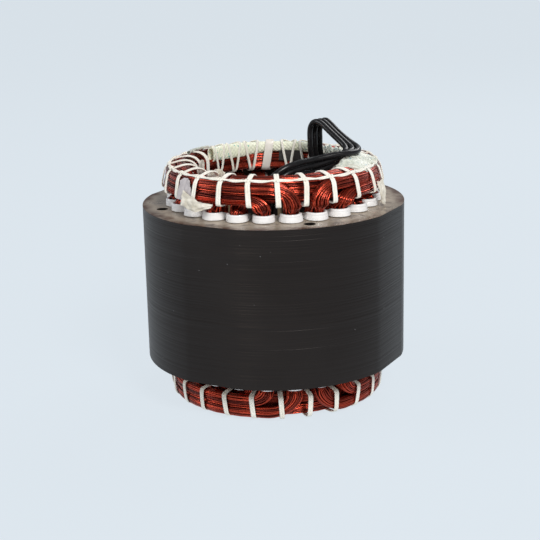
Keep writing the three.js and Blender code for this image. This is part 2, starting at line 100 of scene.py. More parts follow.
# Leads: they lie closer together over the core than down the bore
LEAD_DIAMETER, LEAD_SPACING = 3.4, 3.7
SNUG_DEPTH, SNUG_SHARE = 30, 0.94

# The middle lead: angle, radius and height over the core, then its neighbour's way: outward, around and up
LEAD_ROUTE = (
    (157.5, 42.8, 15.5, 0, 0, 1),
    (157.5, 40, 15.7, 0.15, 0, 0.99),
    (157.5, 36.8, 17, 0.5, 0, 0.87),
    (157.5, 34, 20, 0.85, 0, 0.5),
    (157.5, 32.7, 25, 1.04, 0, 0),
    (157.5, 32.5, 31, 1.06, 0, 0),
    (157.5, 32.5, 36, 1.06, 0, 0),
    (155.8, 32.5, 39.2, 1.04, 0, 0),
    (151.8, 32.6, 41.6, 1, 0.1, 0),
    (146.2, 33.1, 42.2, 0.95, 0.22, 0),
    (140.4, 34, 41, 0.9, 0.32, -0.08),
    (131, 36.4, 37.4, 0.85, 0.45, -0.15),
    (122.5, 40, 33.8, 0.78, 0.55, -0.1),
    (116.7, 43.1, 31.4, 0.75, 0.62, 0),
    (112.3, 45, 30.2, 0.93, 0.37, 0),
    (107.1, 45.8, 29.5, 1, 0, 0),
    (102.1, 45.2, 29.1, 0.95, -0.3, 0.05),
    (97.5, 43.3, 28.3, 0.75, -0.6, 0.3),
    (89.7, 39.2, 26.4, 0.5, -0.35, 0.8),
    (80, 35.9, 24.9, 0.2, -0.15, 0.97),
    (69, 34, 24, 0, 0, 1),
    (55.5, 33.8, 23.4, 0, 0, 1),
    (42, 35.3, 21.9, 0, -0.1, 1),
    (32, 36.9, 18.2, 0, -0.45, 0.87),
    (25, 37.5, 12, 0, -0.75, 0.62),
    (21, 37.6, 4, 0, -0.9, 0.3),
    (19, 37.5, -6, 0, -0.95, 0.1),
    (18, 37.4, -17, 0, -1, 0),
    (17.5, 37.2, -27, 0, -1.25, 0),
    (17.5, 37.1, -38, 0, -1.6, 0),
)

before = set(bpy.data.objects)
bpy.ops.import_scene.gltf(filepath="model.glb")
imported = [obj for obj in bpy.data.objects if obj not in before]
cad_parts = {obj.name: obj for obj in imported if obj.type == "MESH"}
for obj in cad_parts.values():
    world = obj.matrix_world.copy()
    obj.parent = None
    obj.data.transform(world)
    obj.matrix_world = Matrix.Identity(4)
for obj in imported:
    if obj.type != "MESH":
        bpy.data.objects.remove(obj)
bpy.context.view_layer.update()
dice = random.Random(7)


# Places

def outward(angle):
    turn = np.radians(np.asarray(angle, float))
    return np.stack([np.sin(turn), -np.cos(turn), 0 * turn], -1)


def around(angle):
    turn = np.radians(np.asarray(angle, float))
    return np.stack([np.cos(turn), np.sin(turn), 0 * turn], -1)


def place(angle, radius, z, shift=0.0):
    values = (np.asarray(v, float) for v in (angle, radius, z, shift))
    angle, radius, z, shift = np.broadcast_arrays(*values)
    point = outward(angle) * radius[..., None] + around(angle) * shift[..., None]
    point[..., 2] = z
    return point


def lerp(a, b, t):
    return a + (b - a) * t


def smooth(t):
    t = np.clip(t, 0, 1)
    return t * t * (3 - 2 * t)


def unit(v):
    return v / np.maximum(np.linalg.norm(v, axis=-1, keepdims=True), 1e-9)


def pulled_in(points):
    """The end windings as the lacing pulls them: down and in, most at the ring's outer edge."""
    points = np.array(points, float)
    for end in (TOP, BOTTOM):
        height = (points[:, 2] - end["face"]) * end["side"]
        rise = (height - PULL_START) / (end["levels"][1][1] - PULL_START)
        radius = np.maximum(np.hypot(points[:, 0], points[:, 1]), 1e-6)
        share = np.maximum(rise, 0) * np.maximum((radius - end["inner"]) / (end["outer"] - end["inner"]), 0)
        points[:, :2] *= (1 - end["taper"] * share / radius)[:, None]
        points[:, 2] -= end["side"] * end["drop"] * share
    return points


def ripple(terms, t):
    """A sum of sines over t, with whole numbers of waves so that it closes on itself."""
    return sum(size * np.sin(2 * math.pi * count * t + phase) for size, count, phase in terms)


def waves(low, high, count=3):
    return [(1 / count, dice.randint(low, high), dice.uniform(0, 2 * math.pi)) for _ in range(count)]


# Meshes. A part is its vertices, its faces and its named point values.

def grid(rings, closed, **values):
    """A skin over rings of points. The last ring joins the first, or both ends get flat caps."""
    rings = np.asarray(rings, float)
    count, sides = rings.shape[:2]
    i = np.arange(count if closed else count - 1)[:, None]
    j = np.arange(sides)[None, :]
    following, beside = (i + 1) % count, (j + 1) % sides
    quads = np.stack(np.broadcast_arrays(
        i * sides + j, i * sides + beside, following * sides + beside, following * sides + j), -1)
    faces = quads.reshape(-1, 4).tolist()
    if not closed:
        faces.append(list(range(sides))[::-1])
        faces.append([(count - 1) * sides + k for k in range(sides)])
    points = rings.reshape(-1, 3)
    named = {}
    for name, value in values.items():
        named[name] = np.broadcast_to(np.asarray(value, float), (count, sides)).reshape(-1)
    return points, faces, named


def tube(path, normals, wide, thick, sides=6, closed=False, power=2.0, **values):
    """A tube along path. thick is its half size along normals and wide its half size across them."""
    path = np.asarray(path, float)
    if closed:
        ahead = np.roll(path, -1, 0) - np.roll(path, 1, 0)
    else:
        ahead = np.gradient(path, axis=0)
    ahead = unit(ahead)
    normals = unit(normals - ahead * np.sum(normals * ahead, -1, keepdims=True))
    across = np.cross(ahead, normals)
    turn = np.arange(sides) * 2 * math.pi / sides + math.pi / sides
    c, s = np.cos(turn), np.sin(turn)
    k = (np.abs(c) ** power + np.abs(s) ** power) ** (-1 / power)
    wide = np.broadcast_to(np.asarray(wide, float), (len(path),))[:, None, None]
    thick = np.broadcast_to(np.asarray(thick, float), (len(path),))[:, None, None]
    rings = (path[:, None] + normals[:, None] * (k * s)[None, :, None] * thick
             + across[:, None] * (k * c)[None, :, None] * wide)
    along = np.concatenate([[0], np.cumsum(np.linalg.norm(np.diff(path, axis=0), axis=1))])
    named = {"along": along[:, None], "turn": turn[None, :]}
    named.update(values)
    return grid(rings, closed, **named)


def mesh_object(name, parts, materials, face_material=None, sharp=40):
    """One object made of parts, with its end windings pulled in. Edges over sharp degrees are hard."""
    points, faces, start = [], [], 0
    names = sorted({k for part in parts for k in part[2]})
    values = {k: [] for k in names}
    for verts, part_faces, named in parts:
        points.append(verts)
        faces.extend([[v + start for v in face] for face in part_faces])
        for k in names:
            values[k].append(np.asarray(named.get(k, np.zeros(len(verts))), np.float32))
        start += len(verts)
    mesh = bpy.data.meshes.new(name)
    mesh.from_pydata((pulled_in(np.concatenate(points)) * MM).tolist(), [], faces)
    for k in names:
        attribute = mesh.attributes.new(k, "FLOAT", "POINT")
        attribute.data.foreach_set("value", np.concatenate(values[k]))
    mesh.polygons.foreach_set("use_smooth", [True] * len(mesh.polygons))
    for material in materials:
        mesh.materials.append(material)
    if face_material is not None:
        mesh.polygons.foreach_set("material_index", face_material)
    piece = bpy.data.objects.new(name, mesh)
    bpy.context.scene.collection.objects.link(piece)
    turn_outward(mesh)
    mesh.set_sharp_from_angle(angle=math.radians(sharp))
    return piece


def turn_outward(mesh):
    work = bmesh.new()
    work.from_mesh(mesh)
    bmesh.ops.recalc_face_normals(work, faces=work.faces)
    work.to_mesh(mesh)
    work.free()


def finish_piece(piece, slot, *nodes):
    """Hangs the piece on the root body and hides the CAD nodes that it stands for. slot is not used."""
    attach(piece, "root")
    if nodes:
        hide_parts(*nodes)


# Materials

class Shader:
    """A material's node tree, with a Principled shader that its links end in."""

    def __init__(self, name, **sockets):
        self.material = bpy.data.materials.new(name)
        self.material.use_nodes = True
        self.tree = self.material.node_tree
        self.shader = self.tree.nodes["Principled BSDF"]
        for socket, value in sockets.items():
            self.shader.inputs[socket.replace("_", " ")].default_value = value

    def node(self, kind, inputs=(), **settings):
        made = self.tree.nodes.new(kind)
        for key, value in settings.items():
            setattr(made, key, value)
        for socket, value in dict(inputs).items():
            if isinstance(value, bpy.types.NodeSocket):
                self.tree.links.new(value, made.inputs[socket])
            else:
                made.inputs[socket].default_value = value
        return made

    def where(self):
        return self.node("ShaderNodeTexCoord").outputs["Object"]

    def value(self, name):
        return self.node("ShaderNodeAttribute", attribute_name=name).outputs["Fac"]

    def noise(self, scale, detail=3.0, rough=0.55, stretch=None):
        at = self.where()
        if stretch:
            at = self.node("ShaderNodeMapping", {"Vector": at, "Scale": stretch}).outputs[0]
        return self.node("ShaderNodeTexNoise", {"Vector": at, "Scale": scale, "Detail": detail,
                                                "Roughness": rough}).outputs["Fac"]

    def math(self, operation, a, b=0.0):
        return self.node("ShaderNodeMath", {0: a, 1: b}, operation=operation).outputs[0]

    def spread(self, value, low, high, to_low=0.0, to_high=1.0):
        return self.node("ShaderNodeMapRange", {"Value": value, "From Min": low, "From Max": high,
                                                "To Min": to_low, "To Max": to_high}).outputs[0]

    def mix(self, factor, a, b):
        made = self.node("ShaderNodeMix", data_type="RGBA")
        for socket, value in ((0, factor), (6, a), (7, b)):
            if isinstance(value, bpy.types.NodeSocket):
                self.tree.links.new(value, made.inputs[socket])
            elif socket == 0:
                made.inputs[0].default_value = value
            else:
                made.inputs[socket].default_value = (*value, 1)
        return made.outputs[2]

    def bump(self, height, strength, distance):
        made = self.node("ShaderNodeBump", {"Height": height, "Strength": strength, "Distance": distance})
        self.link(made.outputs[0], "Normal")

    def link(self, value, socket):
        self.tree.links.new(value, self.shader.inputs[socket])


def copper_material():
    """Red-brown enamel over copper, a little different from strand to strand."""
    s = Shader("copper_enamel", Metallic=0.9, Coat_Weight=0.08, Coat_Roughness=0.15)
    tint = s.value("tint")
    patch = s.noise(70, 2)
    shade = s.math("ADD", s.math("MULTIPLY", tint, 0.7), s.math("MULTIPLY", patch, 0.5))
    s.link(s.mix(s.spread(shade, 0.2, 1.0), (0.055, 0.007, 0.006), (0.60, 0.075, 0.036)), "Base Color")
    s.link(s.spread(s.noise(400, 2), 0.3, 0.7, 0.18, 0.32), "Roughness")
    s.bump(s.noise(900, 2), 0.12, 0.0002)
    return s.material


def core_side_material():
    """Dark oxide with faint lines round the core and sparse dust."""
    s = Shader("oxide_steel", Metallic=0.0, Specular_IOR_Level=0.22)
    s.shader.inputs["Specular Tint"].default_value = (1.0, 0.90, 0.86, 1)
    streak = s.noise(60, 4, 0.6, stretch=(0.12, 0.12, 40))
    broad = s.noise(18, 3)
    base = s.mix(s.spread(streak, 0.35, 0.68), (0.0068, 0.0054, 0.0050), (0.0096, 0.0078, 0.0073))
    cloudy = s.mix(s.spread(broad, 0.45, 0.75, 0, 0.4), base, (0.0165, 0.0140, 0.0135))
    speck = s.node("ShaderNodeTexVoronoi", {"Vector": s.where(), "Scale": 230}).outputs["Distance"]
    sparse = s.math("GREATER_THAN", s.noise(75, 1), 0.60)
    dust = s.math("MULTIPLY", s.math("LESS_THAN", speck, 0.06), sparse)
    s.link(s.mix(s.math("MULTIPLY", dust, 0.4), cloudy, (0.34, 0.34, 0.35)), "Base Color")
    s.link(s.spread(streak, 0.3, 0.7, 0.40, 0.44), "Roughness")
    lines = s.noise(100, 3, 0.7, stretch=(0.04, 0.04, 20))
    s.bump(lines, 0.06, 0.0004)
    return s.material


def core_face_material():
    """Worn grey steel with grain, dark blotches and rust that grows towards the rim."""
    s = Shader("worn_steel", Metallic=0.25)
    split = s.node("ShaderNodeSeparateXYZ", {0: s.where()})
    square = s.math("ADD", s.math("POWER", split.outputs[0], 2), s.math("POWER", split.outputs[1], 2))
    radius = s.math("SQRT", square)
    cloud = s.noise(60, 5, 0.65)
    fine = s.noise(260, 4, 0.6)
    base = s.mix(s.spread(cloud, 0.3, 0.7), (0.27, 0.215, 0.16), (0.50, 0.425, 0.335))
    grain = s.mix(s.spread(fine, 0.45, 0.75, 0, 0.45), base, (0.12, 0.08, 0.05))
    rim = s.spread(radius, 0.0655, 0.0745)
    rust = s.math("ADD", rim, s.math("MULTIPLY", s.math("SUBTRACT", cloud, 0.5), 3.2))
    worn = s.mix(s.spread(rust, 0.4, 1.05), grain, (0.085, 0.037, 0.018))
    blotch = s.spread(s.noise(95, 3, 0.6), 0.58, 0.68)
    s.link(s.mix(s.math("MULTIPLY", blotch, 0.75), worn, (0.06, 0.035, 0.025)), "Base Color")
    s.link(s.spread(cloud, 0.3, 0.75, 0.22, 0.5), "Roughness")
    s.bump(fine, 0.15, 0.0003)
    return s.material


def film_material():
    """White film, slightly translucent."""
    s = Shader("liner_film", Coat_Weight=0.3, Subsurface_Weight=0.15,
               Subsurface_Radius=(0.002, 0.002, 0.002))
    s.link(s.mix(s.spread(s.noise(70, 3), 0.3, 0.7), (0.80, 0.79, 0.79), (0.90, 0.90, 0.90)), "Base Color")
    s.link(s.spread(s.noise(300, 3), 0.3, 0.7, 0.32, 0.5), "Roughness")
    s.bump(s.noise(350, 3), 0.08, 0.0003)
    return s.material


def cord_material():
    """Ivory lacing cord with twisted fibres, painted shade in the grooves between them, and varnish stains.
    """
    s = Shader("braided_cord", Sheen_Weight=0.25, Sheen_Roughness=0.5)
    stain = s.noise(120, 4, 0.6)
    base = s.mix(s.spread(stain, 0.35, 0.75), (0.90, 0.885, 0.83), (0.76, 0.71, 0.60))
    fibre = s.math("SINE", s.math("ADD", s.math("MULTIPLY", s.value("along"), 7.0),
                                  s.math("MULTIPLY", s.value("turn"), 2.0)))
    thread = s.math("ADD", s.math("MULTIPLY", fibre, 0.3), s.noise(1500, 2))
    # Painted shade: where thread is low, in the grooves that the bump sinks, the colour darkens towards
    # (0.68, 0.64, 0.54).
    s.link(s.mix(s.spread(thread, 0.1, 0.6), (0.68, 0.64, 0.54), base), "Base Color")
    s.link(s.spread(stain, 0.3, 0.7, 0.6, 0.8), "Roughness")
    s.bump(thread, 0.35, 0.0003)
    return s.material


def sleeve_material(name, pale, deep, tracer, wrinkle, crease):
    """A braided sleeve: crossed ribs with painted shade in the grooves between them, stains and coloured
    flecks. crease is the depth of its wrinkles.
    """
    s = Shader(name, Coat_Weight=0.25, Coat_Roughness=0.3)
    along, turn = s.value("along"), s.value("turn")
    rib = s.math("SINE", s.math("ADD", s.math("MULTIPLY", along, 2.6), s.math("MULTIPLY", turn, 9.0)))
    back = s.math("SINE", s.math("SUBTRACT", s.math("MULTIPLY", along, 2.6), s.math("MULTIPLY", turn, 9.0)))
    weave = s.math("ADD", rib, back)
    stain = s.noise(85, 4, 0.6)
    base = s.mix(s.spread(stain, 0.3, 0.75), pale, deep)
    # Painted shade: the weave's grooves, where the bump sinks, are darkened towards (0.66, 0.67, 0.54).
    groove_shaded = s.mix(s.spread(weave, -1.6, 1.6, 0.25, 0.0), base, (0.66, 0.67, 0.54))
    at = s.node("ShaderNodeCombineXYZ", {0: s.math("MULTIPLY", along, 0.34),
                                         1: s.math("ADD", s.math("MULTIPLY", turn, 1.1),
                                                   s.math("MULTIPLY", along, 0.16))}).outputs[0]
    fleck = s.node("ShaderNodeTexVoronoi", {"Vector": at, "Scale": 1.25}).outputs["Distance"]
    s.link(s.mix(s.spread(fleck, 0.21, 0.13), groove_shaded, tracer), "Base Color")
    s.link(s.spread(stain, 0.3, 0.7, 0.38, 0.6), "Roughness")
    s.bump(s.math("ADD", s.math("MULTIPLY", weave, 0.25), s.noise(wrinkle, 4, 0.6)), 0.5, crease)
    return s.material


def plain_material(name, low, high, scale, rough, bump, **sockets):
    """A slightly mottled surface: two colours, a range of roughness and a fine bump."""
    s = Shader(name, **sockets)
    s.link(s.mix(s.spread(s.noise(scale, 4, 0.6), 0.3, 0.7), low, high), "Base Color")
    s.link(s.spread(s.noise(scale * 3, 3), 0.3, 0.7, rough[0], rough[1]), "Roughness")
    s.bump(s.noise(scale * 2, 4, 0.6), bump, 0.0006)
    return s.material


copper = copper_material()
core_side = core_side_material()
core_face = core_face_material()
film = film_material()
cord = cord_material()
rear_sleeve = sleeve_material("glass_sleeve", pale=(0.93, 0.95, 0.80), deep=(0.80, 0.82, 0.62),
                              tracer=(0.04, 0.40, 0.36), wrinkle=260, crease=0.0006)
tape_sleeve = sleeve_material("white_sleeve", pale=(0.82, 0.83, 0.76), deep=(0.46, 0.50, 0.42),
                              tracer=(0.08, 0.30, 0.40), wrinkle=150, crease=0.0022)
nylon = plain_material("nylon_strap", (0.66, 0.61, 0.55), (0.80, 0.76, 0.70),
                       scale=60, rough=(0.3, 0.42), bump=0.05,
                       Subsurface_Weight=0.2, Subsurface_Radius=(0.003, 0.003, 0.003))
paper = plain_material("phase_paper", (0.34, 0.305, 0.31), (0.56, 0.52, 0.52),
                       scale=150, rough=(0.7, 0.9), bump=0.35)
# Near-black paper: painted shade for the shaded gaps at the rear of the ring, not a paper's own colour.
painted_shade_paper = plain_material("painted_shade_paper", (0.020, 0.017, 0.016), (0.045, 0.040, 0.038),
                            scale=110, rough=(0.7, 0.9), bump=0.2)
tape = plain_material("cotton_tape", (0.50, 0.45, 0.35), (0.80, 0.76, 0.67),
                      scale=220, rough=(0.7, 0.9), bump=0.5, Sheen_Weight=0.3)
wedge_strip = plain_material("wedge_strip", (0.15, 0.105, 0.06), (0.24, 0.18, 0.11),
                             scale=90, rough=(0.5, 0.7), bump=0.15)
black = plain_material("lead_insulation", (0.006, 0.006, 0.0065), (0.011, 0.010, 0.011),
                       scale=120, rough=(0.20, 0.30), bump=0.06, Specular_IOR_Level=0.25)
tinned = plain_material("tinned_brass", (0.60, 0.58, 0.53), (0.74, 0.72, 0.68),
                        scale=200, rough=(0.25, 0.4), bump=0.1, Metallic=1.0)


# Camera

LENS, SENSOR_WIDTH = 88.34, 36
CAMERA_ANGLE, CAMERA_DISTANCE, CAMERA_HEIGHT = 28.0, 746.14, 276.94
CAMERA_TURN, CAMERA_DIP, CAMERA_ROLL = 28.216, 15.4367, -1.2657


def camera():
    data = bpy.data.cameras.new("camera")
    data.lens = LENS
    data.sensor_width = SENSOR_WIDTH
    data.clip_end = 50
    eye = bpy.data.objects.new("camera", data)
    bpy.context.scene.collection.objects.link(eye)
    aim = (Matrix.Rotation(math.radians(CAMERA_TURN), 4, "Z")
           @ Matrix.Rotation(math.radians(90 - CAMERA_DIP), 4, "X")
           @ Matrix.Rotation(math.radians(CAMERA_ROLL), 4, "Z"))
    stand_at = place(CAMERA_ANGLE, CAMERA_DISTANCE, CAMERA_HEIGHT) * MM
    eye.matrix_world = Matrix.Translation(Vector(stand_at)) @ aim
    bpy.context.scene.camera = eye


camera()


# Leads

def lead_points(rank):
    """The centre line of one lead, in metres. rank is its place beside the middle one."""
    rows = np.array(LEAD_ROUTE)
    middle = place(rows[:, 0], rows[:, 1], CORE_TOP + rows[:, 2])
    count = np.arange(len(rows))
    ahead = unit(middle[np.minimum(count + 1, len(rows) - 1)] - middle[np.maximum(count - 1, 0)])
    lean = outward(rows[:, 0]) * rows[:, 3:4] + around(rows[:, 0]) * rows[:, 4:5]
    lean[:, 2] = rows[:, 5]
    size = np.linalg.norm(lean, axis=1, keepdims=True)
    snug = np.interp(rows[:, 2], (-SNUG_DEPTH, 0), (1.0, SNUG_SHARE))[:, None]
    aside = unit(lean - ahead * np.sum(lean * ahead, -1, keepdims=True)) * size * LEAD_SPACING * snug
    return (middle + aside * rank) * MM


def lead(name, rank):
    """One lead as a curve through its points."""
    points = lead_points(rank)
    curve = bpy.data.curves.new(name, "CURVE")
    curve.dimensions = "3D"
    curve.bevel_depth = LEAD_DIAMETER / 2 * MM
    curve.bevel_resolution = 5
    curve.resolution_u = 8
    curve.use_fill_caps = True
    spline = curve.splines.new("BEZIER")
    spline.bezier_points.add(len(points) - 1)
    for i, knot in enumerate(spline.bezier_points):
        before, after = points[max(i - 1, 0)], points[min(i + 1, len(points) - 1)]
        here = points[i]
        direction = (after - before) / max(np.linalg.norm(after - before), 1e-9)
        knot.co = here
        knot.handle_left_type = knot.handle_right_type = "FREE"
        knot.handle_left = here - direction * np.linalg.norm(here - before) / 3
        knot.handle_right = here + direction * np.linalg.norm(after - here) / 3
    curve.materials.append(black)
    piece = bpy.data.objects.new(name, curve)
    bpy.context.scene.collection.objects.link(piece)
    finish_piece(piece, "lead", name.replace("_wire", ""))


for rank, letter in ((-1, "u"), (0, "v"), (1, "w")):
    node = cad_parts["terminal_" + letter]
    node.data.materials.clear()
    node.data.materials.append(tinned)
    lead(f"lead_{letter}_wire", rank)


# Core

def slot_half_width(radius, offset):
    return (radius - TOOTH_VERTEX) * math.tan(HALF_PITCH) - offset / math.cos(HALF_PITCH)


def slot_wall(offset, inner, steps):
    """The slot's wall moved in by offset, as (sideways, radius) rows from one side round the bottom."""
    start = slot_half_width(inner, offset)
    turns = -HALF_PITCH + np.arange(steps + 1) * (math.pi + 2 * HALF_PITCH) / steps
    arc = np.stack([(ARC - offset) * np.cos(turns), ARC_CENTRE + (ARC - offset) * np.sin(turns)], -1)
    return np.concatenate([[[start, inner]], arc, [[-start, inner]]])


def slot_angle(slot):
    return PITCH * (slot + 0.5)


def core():
    """The laminated core: flat ends with slots and holes, and a side with a step at every lamination."""
    rim = []
    quarter = 360 / FLAT_COUNT
    for flat in range(FLAT_COUNT):
        first, last = flat * quarter + FLAT_HALF_ANGLE, (flat + 1) * quarter - FLAT_HALF_ANGLE
        rim.append(place(np.linspace(first, last, RIM_STEPS), CORE_RADIUS, 0))
    rim = np.concatenate(rim)
    half = SLOT_OPENING / 2
    mouth = math.sqrt(BORE_RADIUS ** 2 - half ** 2)
    bore = []
    for slot in range(SLOT_COUNT):
        wall = slot_wall(0, SLOT_SHOULDER, WALL_STEPS)
        section = np.concatenate([[[half, mouth], [half, mouth + TIP_DEPTH]], wall,
                                  [[-half, mouth + TIP_DEPTH], [-half, mouth]]])[::-1]
        bore.append(place(slot_angle(slot), section[:, 1], 0, section[:, 0]))
        edge = math.degrees(math.asin(half / BORE_RADIUS))
        tooth = np.linspace(slot_angle(slot) + edge, slot_angle(slot + 1) - edge, TOOTH_STEPS)[1:-1]
        bore.append(place(tooth, BORE_RADIUS, 0))
    bore = np.concatenate(bore)
    hole = outward(np.arange(HOLE_STEPS) * 360 / HOLE_STEPS) * BOLT_HOLE
    holes = [place(quarter * (k + 0.5), BOLT_RADIUS, 0) + hole for k in range(FLAT_COUNT)]
    outlines = [rim, bore, *holes]
    triangles = geometry.tessellate_polygon([[Vector(p) for p in line] for line in outlines])
    counts = [len(line) for line in outlines]
    starts = np.concatenate([[0], np.cumsum(counts)])
    flat_points = np.concatenate(outlines)
    total = len(flat_points)
    up = np.array([0, 0, 1.0])
    points = [flat_points + up * CORE_BOTTOM, flat_points + up * CORE_TOP]
    faces = [list(t) for t in triangles] + [[v + total for v in t] for t in triangles]
    side_kind, face_kind = 0, 1
    kinds = [face_kind] * len(faces)
    for first, count in zip(starts[1:-1], counts[1:]):
        for k in range(count):
            a, b = first + k, first + (k + 1) % count
            faces.append([a, b, b + total, a + total])
            kinds.append(side_kind)
    layers = int(STACK_HEIGHT / LAMINATION)
    rings = [flat_points[:counts[0]] + up * CORE_BOTTOM]
    for layer in range(layers):
        reach = 1 + dice.gauss(0, EDGE_SCATTER) / CORE_RADIUS
        for z in (layer * LAMINATION + HALF_STEP, (layer + 1) * LAMINATION - HALF_STEP):
            rings.append(rim * reach + up * (CORE_BOTTOM + z))
    inner = np.array(rings[1:])
    points.append(inner.reshape(-1, 3))
    base = 2 * total
    count = counts[0]
    index = [np.arange(count)] + [base + k * count + np.arange(count) for k in range(len(inner))]
    index.append(total + np.arange(count))
    for low, high in zip(index[:-1], index[1:]):
        quads = np.stack([low, np.roll(low, -1), np.roll(high, -1), high], -1).tolist()
        faces.extend(quads)
        kinds.extend([side_kind] * len(quads))
    part = (np.concatenate(points), faces, {})
    stack = mesh_object("core_laminations", [part], [core_side, core_face], kinds, sharp=25)
    finish_piece(stack, "core", "lamination_stack")


core()


# Slot liners and wedges

def liner(slot):
    """A liner through the core, with a folded cuff at each end that is cut down towards the bore."""
    lean = dice.uniform(-0.1, 0.25)
    flare = dice.uniform(0.0, 0.2)
    rise = dice.uniform(-0.15, 0.15)

    def cuff(face, side):
        top = CUFF_HEIGHT + rise + (CUFF_EXTRA_BELOW if side < 0 else 0.0)
        rows = [(LINER_WALL, top - 0.35), (LINER_WALL - 0.13, top - 0.1), (LINER_WALL - 0.4, top),
                (0.0, top), (-0.35, top - 0.03), (-0.62, top - 0.2), (-0.74 - lean * 0.2, top - 0.6),
                (-0.76 - lean * 0.4, top - 1.35), (-0.72 - lean * 0.45, top - 1.5),
                (-0.79 - lean * 0.5, top - 1.68), (-0.84 - lean - flare, 1.2),
                (-0.9 - lean - flare * 1.5, 0.4), (-0.6 - lean - flare * 1.5, 0.36),
                (0.1, 0.4), (LINER_CLEARANCE, 0.36)]
        return [(offset, face + side * height) for offset, height in rows]

    profile = cuff(CORE_TOP, 1) + cuff(CORE_BOTTOM, -1)[::-1]
    walls = np.array([slot_wall(offset, LINER_INNER, LINER_STEPS) for offset, _ in profile])
    heights = np.array([z for _, z in profile])
    wobble = ripple(waves(1, 3), np.linspace(0, 1, walls.shape[1]))
    beyond = heights - np.clip(heights, CORE_BOTTOM, CORE_TOP)
    outer = np.array([1.0 if offset < -0.7 else 0.0 for offset, _ in profile])
    rings = []
    for step in range(walls.shape[1]):
        trim = lerp(TRIM_SHARE, 1.0, smooth((walls[:, step, 1] - TRIM_FROM) / TRIM_OVER))
        lift = outer * wobble[step] * LINER_LIFT
        radius = walls[:, step, 1] + outer * wobble[step] * LINER_SWAY
        z = heights - beyond * (1 - trim) + lift * trim * np.sign(beyond)
        rings.append(place(slot_angle(slot), radius, z, walls[:, step, 0]))
    piece = mesh_object(f"liner_{slot}", [grid(rings, False)], [film], sharp=50)
    finish_piece(piece, "liner", f"slot_liner_{slot}")


def wedge(slot):
    half = slot_half_width(WEDGE_RADIUS, WEDGE_CLEARANCE)
    x = np.linspace(-half, half, WEDGE_STEPS)
    bow = WEDGE_CROWN * (1 - (x / half) ** 2)
    outer = np.stack([x, WEDGE_RADIUS + WEDGE_HALF - bow], -1)
    inner = np.stack([x, WEDGE_RADIUS - WEDGE_HALF - bow], -1)[::-1]
    section = np.concatenate([outer, inner])
    ends = [(CORE_BOTTOM - reach, k) for reach, k in WEDGE_ENDS]
    ends += [(CORE_TOP + reach, k) for reach, k in reversed(WEDGE_ENDS)]
    rings = [place(slot_angle(slot), section[:, 1], z, section[:, 0] * k) for z, k in ends]
    piece = mesh_object(f"wedge_{slot}", [grid(rings, False)], [wedge_strip], sharp=35)
    finish_piece(piece, "paper")


for number in range(1, SLOT_COUNT + 1):
    liner(number)
    wedge(number)


# Coils

def corner(end, layer, level, slot, direction):
    """Rows of angle, height, turn, half size and blend from slot to ring, where a coil leaves a slot."""
    low, high = (end["inner_levels"] if layer == 2 else end["levels"])[level]
    thickness = (end["outer"] - end["inner"] - 2 * LAYER_GAP) / 3
    radius = end["outer"] - layer * (thickness + LAYER_GAP) - thickness / 2
    pitches, rise = BENDS[level]
    reach = pitches * radius * math.radians(PITCH)
    start = (low + high) / 2 - rise
    flare_low, flare_high = CUFF_HEIGHT + 0.2, end["levels"][0][0] - LAYER_GAP
    straight = [-2.0, 2.0, 4.0] + list(np.linspace(5.0, max(start, 5.4), 2 if level == 0 else 4))
    step = np.radians(np.concatenate([np.zeros(len(straight)), np.arange(10, 91, 10)]))
    bend = np.arctan2(reach * np.sin(step), rise * np.cos(step))
    turn = np.degrees(bend)
    centre = np.concatenate([straight, start + rise * np.sin(step[len(straight):])])
    away = np.degrees(reach * (1 - np.cos(step)) / radius)
    half = lerp(LEG_HALF_WIDTHS[layer], (high - low) / 2 + BEND_SLACK, np.sin(bend))
    crest = centre + half * np.sin(bend)
    blend = smooth((crest - flare_low) / (flare_high - flare_low))
    return np.stack([slot_angle(slot) + direction * away, centre, turn, half, blend], -1)


def end_run(end, layer, level, slot, span, direction):
    """The rows of one end turn, from slot to slot, and how many of them are its first bend."""
    rise = corner(end, layer, level, slot, direction)
    fall = corner(end, layer, level, slot + direction * span, -direction)[::-1].copy()
    fall[:, 2] = 180 - fall[:, 2]
    steps = (span - 2) * 4
    middle = np.repeat(rise[-1:], steps - 1, 0)
    middle[:, 0] = np.linspace(rise[-1, 0], fall[0, 0], steps + 1)[1:-1]
    return np.concatenate([rise, middle, fall]), len(rise)


def section_at(end, layer, rows, travel, spin, size):
    """Points of one strand. spin is its angle in the bundle and size its distance from the middle."""
    angle, height, turn, half, blend = rows.T
    thickness = (end["outer"] - end["inner"] - 2 * LAYER_GAP) / 3
    outer = end["outer"] - layer * (thickness + LAYER_GAP)
    c, s = np.cos(spin), np.sin(spin)
    k = (np.abs(c) ** 5 + np.abs(s) ** 5) ** -0.2 * size
    sideways, depth = c * k, s * k
    swell = SWELL * (1 - np.cos(np.radians(angle * SLOT_COUNT))) / 2
    run_side = sideways * (half - WIRE_RADIUS + swell)
    run_radius = outer - thickness / 2 + depth * (thickness / 2 - WIRE_RADIUS + swell)
    slot_outer = SLOT_BOTTOM - COIL_CLEARANCE - WIRE_RADIUS
    slot_radius = lerp(COIL_INNER + WIRE_RADIUS, slot_outer, (depth + 1) / 2)
    wide = (slot_radius - TOOTH_VERTEX) * math.tan(HALF_PITCH) - COIL_CLEARANCE - WIRE_RADIUS
    arc = ARC - COIL_CLEARANCE - WIRE_RADIUS
    round_off = np.sqrt(np.maximum(arc ** 2 - np.maximum(slot_radius - ARC_CENTRE, 0) ** 2, 0.5))
    slot_side = sideways * np.minimum(wide, round_off)
    bend = np.radians(turn)
    out = lerp(slot_radius, run_radius, blend)
    side = lerp(slot_side, run_side, blend)
    point = place(angle, out, end["face"] + end["side"] * height)
    point += around(angle) * (-np.cos(bend) * travel * side)[:, None]
    point[:, 2] += np.sin(bend) * side
    return point


